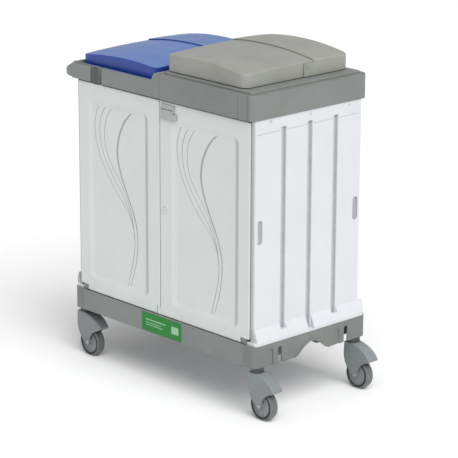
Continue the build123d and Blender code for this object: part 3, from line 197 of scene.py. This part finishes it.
def metal(name, colour, rough=0.32, brushed=(1.0, 1.0, 30.0), metallic=1.0):
    n = Nodes(name)
    lines = n.noise(300.0, 3.0, 0.6, stretch=brushed)
    spots = n.noise(30.0, 4.0, 0.6)
    base = n.mix(n.ramp(spots, 0.35, 0.7), colour, tuple(c * 0.82 for c in colour))
    n.link(base, n.shader.inputs["Base Color"])
    n.link(n.ramp(lines, 0.3, 0.7, rough - 0.07, rough + 0.12), n.shader.inputs["Roughness"])
    n.shader.inputs["Metallic"].default_value = metallic
    n.link(n.bump(lines, 0.15, 0.0002, n.rounded(0.0008)), n.shader.inputs["Normal"])
    return n


def assign(material, *names):
    for name in names:
        mesh = nodes[name].data
        mesh.materials.clear()
        mesh.materials.append(material)


# ------------------------------------------------------------------ materials of the CAD nodes
base_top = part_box("base_end_right")[1][2]
RIB_START = 0.107  # the shaded rib of the top frame, measured from the frame's left end
RIB_END = 0.141

assign(plastic("handle_grey_plastic", FRAME_GREY, rough=0.45, grain=0.3, mottle=0.04).mat, "push_handle")



def top_frame_material():
    """Grey moulding; the sunk rib between the handle's joint and the groove is painted darker, a painted
    shade.
    """
    n = plastic("frame_grey_plastic", FRAME_GREY, rough=0.45, grain=0.3, mottle=0.04)
    low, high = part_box("top_frame")
    x = n.axis("X")
    rib = n.math("MULTIPLY", n.ramp(x, low[0] + RIB_START, low[0] + RIB_START + 0.002),
                 n.ramp(x, low[0] + RIB_END, low[0] + RIB_END + 0.002, 1.0, 0.0))
    side = n.ramp(n.math("ABSOLUTE", n.axis("Y")), high[1] - 0.0008, high[1] - 0.0004)
    n.tint(n.math("MULTIPLY", rib, side), FRAME_SLOT_SHADE)
    return n.mat


assign(top_frame_material(), "top_frame")
# the paler edges are raised here to paint highlights along the collar's edges
collar_plastic = plastic("collar_grey_plastic", COLLAR_GREY, rough=0.42, grain=0.3, mottle=0.04, wear_and_highlight=0.22)
assign(collar_plastic.mat, "collar")
base_plastic = plastic("base_grey_plastic", FRAME_GREY, rough=0.48, grain=0.3, mottle=0.05,
                       dirt_below=(base_top - 0.08, base_top, 0.25))
assign(base_plastic.mat, "base_rail_front", "base_rail_rear")
end_plastic = plastic("base_end_plastic", BASE_END_GREY, rough=0.48, grain=0.3, mottle=0.05,
                      dirt_below=(base_top - 0.08, base_top, 0.2))
assign(end_plastic.mat, "base_end_left", "base_end_right")

blue = plastic("lid_blue_plastic", LID_BLUE, rough=0.30, grain=0.12, mottle=0.05, wear_and_highlight=0.10,
               round_radius=0.002, specular=0.5)
# the faces that look up are painted paler, a painted sheen that is uneven in patches
sheen_patches = blue.ramp(blue.noise(12.0, 4.0, 0.6), 0.3, 0.7, 0.85, 1.0)
looking_up = blue.ramp(blue.facing("Z"), 0.45, 0.95, smooth=True)
blue.tint(blue.math("MULTIPLY", looking_up, sheen_patches), LID_BLUE_SHEEN)
assign(blue.mat, "blue_lid_flap", "blue_lid_cover")
# the paler edges are raised here to paint highlights along the lid's edges
grey = plastic("lid_grey_plastic", LID_GREY, rough=0.33, grain=0.18, mottle=0.05, wear_and_highlight=0.16,
               round_radius=0.002)
assign(grey.mat, "grey_lid_flap", "grey_lid_cover")

FOOT_REACH = 0.018  # how far the foot stands out past the sheet
FLUTE_DEPTH = 0.007
FLUTE_FIELD_Y = 0.230  # the flutes and slots lie within this distance of the middle
FLUTE_SPACING = 0.119
SLOT_FIELD_Y = 0.185  # outside this distance from the middle there are only the slots
CORNER_WIDTH = 0.009
PANEL_FRONT_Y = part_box("base_rail_front")[0][1] + 0.011  # the sheet's rounded edge beside the door


def end_panel_material():
    """White panel; painted shade greys the floors of the flutes and of the two blind slots."""
    n = plastic("panel_white_plastic", PANEL_WHITE, rough=0.36, grain=0.12, mottle=0.012, wear_and_highlight=0.03,
                dirt_below=(base_top, base_top + 0.12, 0.15))
    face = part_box("end_panel_right")[1][0] - FOOT_REACH
    depth = n.math("SUBTRACT", face, n.math("ABSOLUTE", n.axis("X")))
    inside = n.math("MULTIPLY", n.ramp(depth, 0.0005, 0.0040, smooth=True),
                    n.ramp(depth, FLUTE_DEPTH + 0.0008, FLUTE_DEPTH + 0.0012, 1.0, 0.0))
    across = n.math("ABSOLUTE", n.axis("Y"))
    in_field = n.ramp(across, FLUTE_FIELD_Y - 0.002, FLUTE_FIELD_Y + 0.004, 1.0, 0.0)
    # painted shade in the flutes and slots, stronger on each flute's rear half, uneven in patches
    shade_patches = n.ramp(n.noise(40.0, 4.0, 0.6), 0.3, 0.75, 0.8, 1.0)
    wrap = n.new("ShaderNodeMath", operation="WRAP")
    n.link(n.axis("Y"), wrap.inputs[0])
    wrap.inputs[1].default_value = FLUTE_SPACING / 2
    wrap.inputs[2].default_value = -FLUTE_SPACING / 2
    rear_half = n.ramp(wrap.outputs["Value"], -0.009, 0.006, 0.15, 1.0, smooth=True)
    in_slots = n.ramp(across, SLOT_FIELD_Y, SLOT_FIELD_Y + 0.005)
    amount = n.math("MULTIPLY", n.math("MAXIMUM", rear_half, in_slots), shade_patches)
    n.tint(n.math("MULTIPLY", n.math("MULTIPLY", inside, in_field), amount), PANEL_SHADE)
    # the rounded corner beside the door lies in shade above the foot
    corner = n.ramp(n.axis("Y"), PANEL_FRONT_Y + 0.002, PANEL_FRONT_Y + CORNER_WIDTH,
                    0.85, 0.0, smooth=True)
    above_foot = n.ramp(n.axis("Z"), base_top + 0.012, base_top + 0.016)
    n.tint(n.math("MULTIPLY", corner, above_foot), CORNER_SHADE)
    return n.mat


assign(end_panel_material(), "end_panel_left", "end_panel_right")
back = plastic("back_white_plastic", PANEL_WHITE, rough=0.45, grain=0.2, mottle=0.012, wear_and_highlight=0.03)
assign(back.mat, "back_panel", "centre_divider", "base_deck")

door_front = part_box("door_right")[0][1]
FIELD_DEPTH = 0.0045  # the field of a door behind its front face
WAVE_FLOOR = 0.0058  # the floor of the engraved waves behind the same face


def door_material():
    """White door skin; the engraved waves get a painted shade where the surface lies at the groove's
    depth.
    """
    n = plastic("door_white_plastic", DOOR_WHITE, rough=0.47, grain=0.35, grain_scale=1400.0,
                mottle=0.012, wear_and_highlight=0.03, dirt_below=(base_top, base_top + 0.10, 0.15))
    y = n.axis("Y")
    field = door_front + FIELD_DEPTH
    groove = door_front + WAVE_FLOOR
    # painted shade on the groove floors of the waves
    floor = n.math("MULTIPLY", n.ramp(y, field + 0.0003, groove - 0.0004),
                   n.ramp(y, groove + 0.0003, groove + 0.0008, 1.0, 0.0))
    speck = n.noise(500.0, 2.0)
    tint = n.mix(n.ramp(speck, 0.3, 0.7), WAVE_SHADE_GREY, tuple(c * 1.12 for c in WAVE_SHADE_GREY))
    n.tint(floor, tint)
    # the slope of the field that turns away from +X lies in shade
    on_slope = n.math("MULTIPLY", n.ramp(y, door_front + 0.0002, door_front + 0.0006),
                      n.ramp(y, field - 0.0004, field - 0.0001, 1.0, 0.0))
    turned = n.ramp(n.facing("X"), -0.20, -0.06, 1.0, 0.0)
    n.tint(n.math("MULTIPLY", on_slope, turned), SLOPE_SHADE)
    return n.mat


assign(door_material(), "door_left", "door_right")

steel = metal("zinc_steel", ZINC, rough=0.38)
assign(metal("dark_zinc", DARK_ZINC, rough=0.45, metallic=0.7).mat, "caster_stems")
assign(steel.mat, "door_pivot_pins", "strike_plate_left", "strike_plate_right",
       "lid_hinge_pins", "blue_flap_pins", "grey_flap_pins", "door_pull_pin", "lock_cam",
       *(n for n in nodes if n.startswith("caster_axle")))
# the tubes' dark colour is painted shade: it stands for the dark gap beside the doors
gap_shade_tube = plastic("tube_dark_gap_shade", TUBE_GAP_SHADE, rough=0.4, grain=0.4, grain_scale=1200.0)
assign(plastic("bracket_grey_plastic", BRACKET_GREY, rough=0.45).mat, "door_pivot_brackets")
assign(gap_shade_tube.mat, "base_cross_tubes", *(n for n in nodes if n.startswith("upright_")))
bright = metal("bright_alloy", BRIGHT_ALLOY, rough=0.25)
assign(bright.mat, "panel_rivets", "lock_housing", "lock_plug")
assign(plastic("black_catch_plastic", CATCH_BLACK, rough=0.5).mat, "catch_block")
assign(metal("ferrite", FERRITE_GREY, rough=0.5, metallic=0.6).mat, "catch_magnets")
assign(plastic("pull_grey_plastic", PULL_GREY, rough=0.36, grain=0.2).mat,
       "door_pull_base", "door_pull_lever")
assign(plastic("bag_frame_black_plastic", BAG_FRAME_BLACK, rough=0.5).mat,
       "bag_frame_left", "bag_frame_right")
caster = plastic("caster_grey_plastic", CASTER_GREY, rough=0.4, grain=0.25, mottle=0.06, wear_and_highlight=0.2,
                 dirt_below=(0.04, 0.16, 0.35))
assign(caster.mat, *(n for n in nodes if n.startswith("caster_fork")))


def label_material():
    """Blank printed label: green field, three pale bars and a plain pale patch at its right."""
    n = plastic("label_green_film", LABEL_GREEN, rough=0.35, grain=0.05, mottle=0.03, wear_and_highlight=0.0,
                specular=0.2)
    low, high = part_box("rail_label")
    x, z = n.axis("X"), n.axis("Z")

    def band(value, a, b, soft=0.0006):
        return n.math("MULTIPLY", n.ramp(value, a - soft, a + soft),
                      n.ramp(value, b - soft, b + soft, 1.0, 0.0))

    def patch(x0, x1, z0, z1):
        return n.math("MULTIPLY", band(x, low[0] + x0, low[0] + x1), band(z, low[2] + z0, low[2] + z1))

    marks = patch(0.150, 0.186, 0.020, 0.046)
    for x0, x1, z0, z1 in (
        (0.020, 0.120, 0.040, 0.044),
        (0.020, 0.096, 0.030, 0.0325),
        (0.020, 0.108, 0.022, 0.0245),
    ):
        marks = n.math("MAXIMUM", marks, patch(x0, x1, z0, z1))
    n.tint(marks, LABEL_MARKS)
    return n.mat


assign(label_material(), "rail_label")


RING_INNER = 0.0376  # radii of the black band and of the worn tread
RING_OUTER = 0.0456
TREAD_START = 0.0485


def wheel_material(name, centre, colour):
    """Grey wheel with a black band moulded between the hub disc and the tread."""
    n = plastic(name, colour, rough=0.5, grain=0.3, mottle=0.06, wear_and_highlight=0.1)
    move = n.new("ShaderNodeVectorMath", operation="SUBTRACT")
    n.link(n.coords, move.inputs[0])
    move.inputs[1].default_value = centre
    flat = n.new("ShaderNodeVectorMath", operation="MULTIPLY")
    n.link(move.outputs["Vector"], flat.inputs[0])
    flat.inputs[1].default_value = (1.0, 0.0, 1.0)
    length = n.new("ShaderNodeVectorMath", operation="LENGTH")
    n.link(flat.outputs["Vector"], length.inputs[0])
    radius = length.outputs["Value"]
    soft = 0.0004
    ring = n.math("MULTIPLY", n.ramp(radius, RING_INNER - soft, RING_INNER + soft),
                  n.ramp(radius, RING_OUTER - soft, RING_OUTER + soft, 1.0, 0.0))
    n.tint(ring, RING_BLACK)
    dirt = n.ramp(n.noise(90.0, 5.0, 0.7), 0.35, 0.7, 0.1, 0.6)
    tread = n.math("MULTIPLY", n.ramp(radius, TREAD_START, TREAD_START + 0.0013), dirt)
    n.tint(tread, TREAD_DIRT)
    return n.mat


for end in ("front_left", "front_right", "rear_left", "rear_right"):
    low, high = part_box("caster_tyre_" + end)
    centre = tuple((a + b) / 2 for a, b in zip(low, high))
    assign(wheel_material("tyre_" + end, centre, TREAD_GREY), "caster_tyre_" + end)
    assign(wheel_material("hub_" + end, centre, CASTER_GREY), "caster_hub_" + end)

# ------------------------------------------------------------------ stage, light and camera
scene = bpy.context.scene
scene.view_settings.view_transform = "Standard"

floor_mesh = bpy.data.meshes.new("floor")
maker = bmesh.new()
bmesh.ops.create_grid(maker, x_segments=1, y_segments=1, size=30.0)
maker.to_mesh(floor_mesh)
maker.free()
floor = bpy.data.objects.new("floor", floor_mesh)
scene.collection.objects.link(floor)
floor_look = Nodes("floor_paper")
floor_look.link(floor_look.mix(floor_look.noise(3.0), FLOOR_LOW, FLOOR_HIGH),
                floor_look.shader.inputs["Base Color"])
floor_look.shader.inputs["Roughness"].default_value = 0.9
floor.data.materials.append(floor_look.mat)

world = bpy.data.worlds.new("studio")
scene.world = world
world.use_nodes = True
world.node_tree.nodes["Background"].inputs["Color"].default_value = (1.0, 1.0, 1.0, 1.0)
world.node_tree.nodes["Background"].inputs["Strength"].default_value = 0.45

sun_data = bpy.data.lights.new("soft_sun", "SUN")
sun_data.energy = 2.55
sun_data.angle = math.radians(50)
sun = bpy.data.objects.new("soft_sun", sun_data)
sun.rotation_euler = Vector((0.56, -0.23, 0.80)).to_track_quat("Z", "Y").to_euler()
scene.collection.objects.link(sun)

camera_data = bpy.data.cameras.new("camera")
camera = bpy.data.objects.new("camera", camera_data)
scene.collection.objects.link(camera)
scene.camera = camera
camera_data.sensor_width = 36.0
camera_data.lens = 180.69
camera.location = (5.5356, -5.1613, 2.7168)
azimuth, elevation, roll = (math.radians(v) for v in (46.713, 16.287, 0.238))
look = Vector((
    -math.sin(azimuth) * math.cos(elevation),
    math.cos(azimuth) * math.cos(elevation),
    -math.sin(elevation),
))
right = Vector((math.cos(azimuth), math.sin(azimuth), 0.0))
up = right.cross(look)
right, up = (right * math.cos(roll) + up * math.sin(roll), up * math.cos(roll) - right * math.sin(roll))
camera.rotation_euler = Matrix((right, up, -look)).transposed().to_euler()
camera_data.clip_end = 100.0
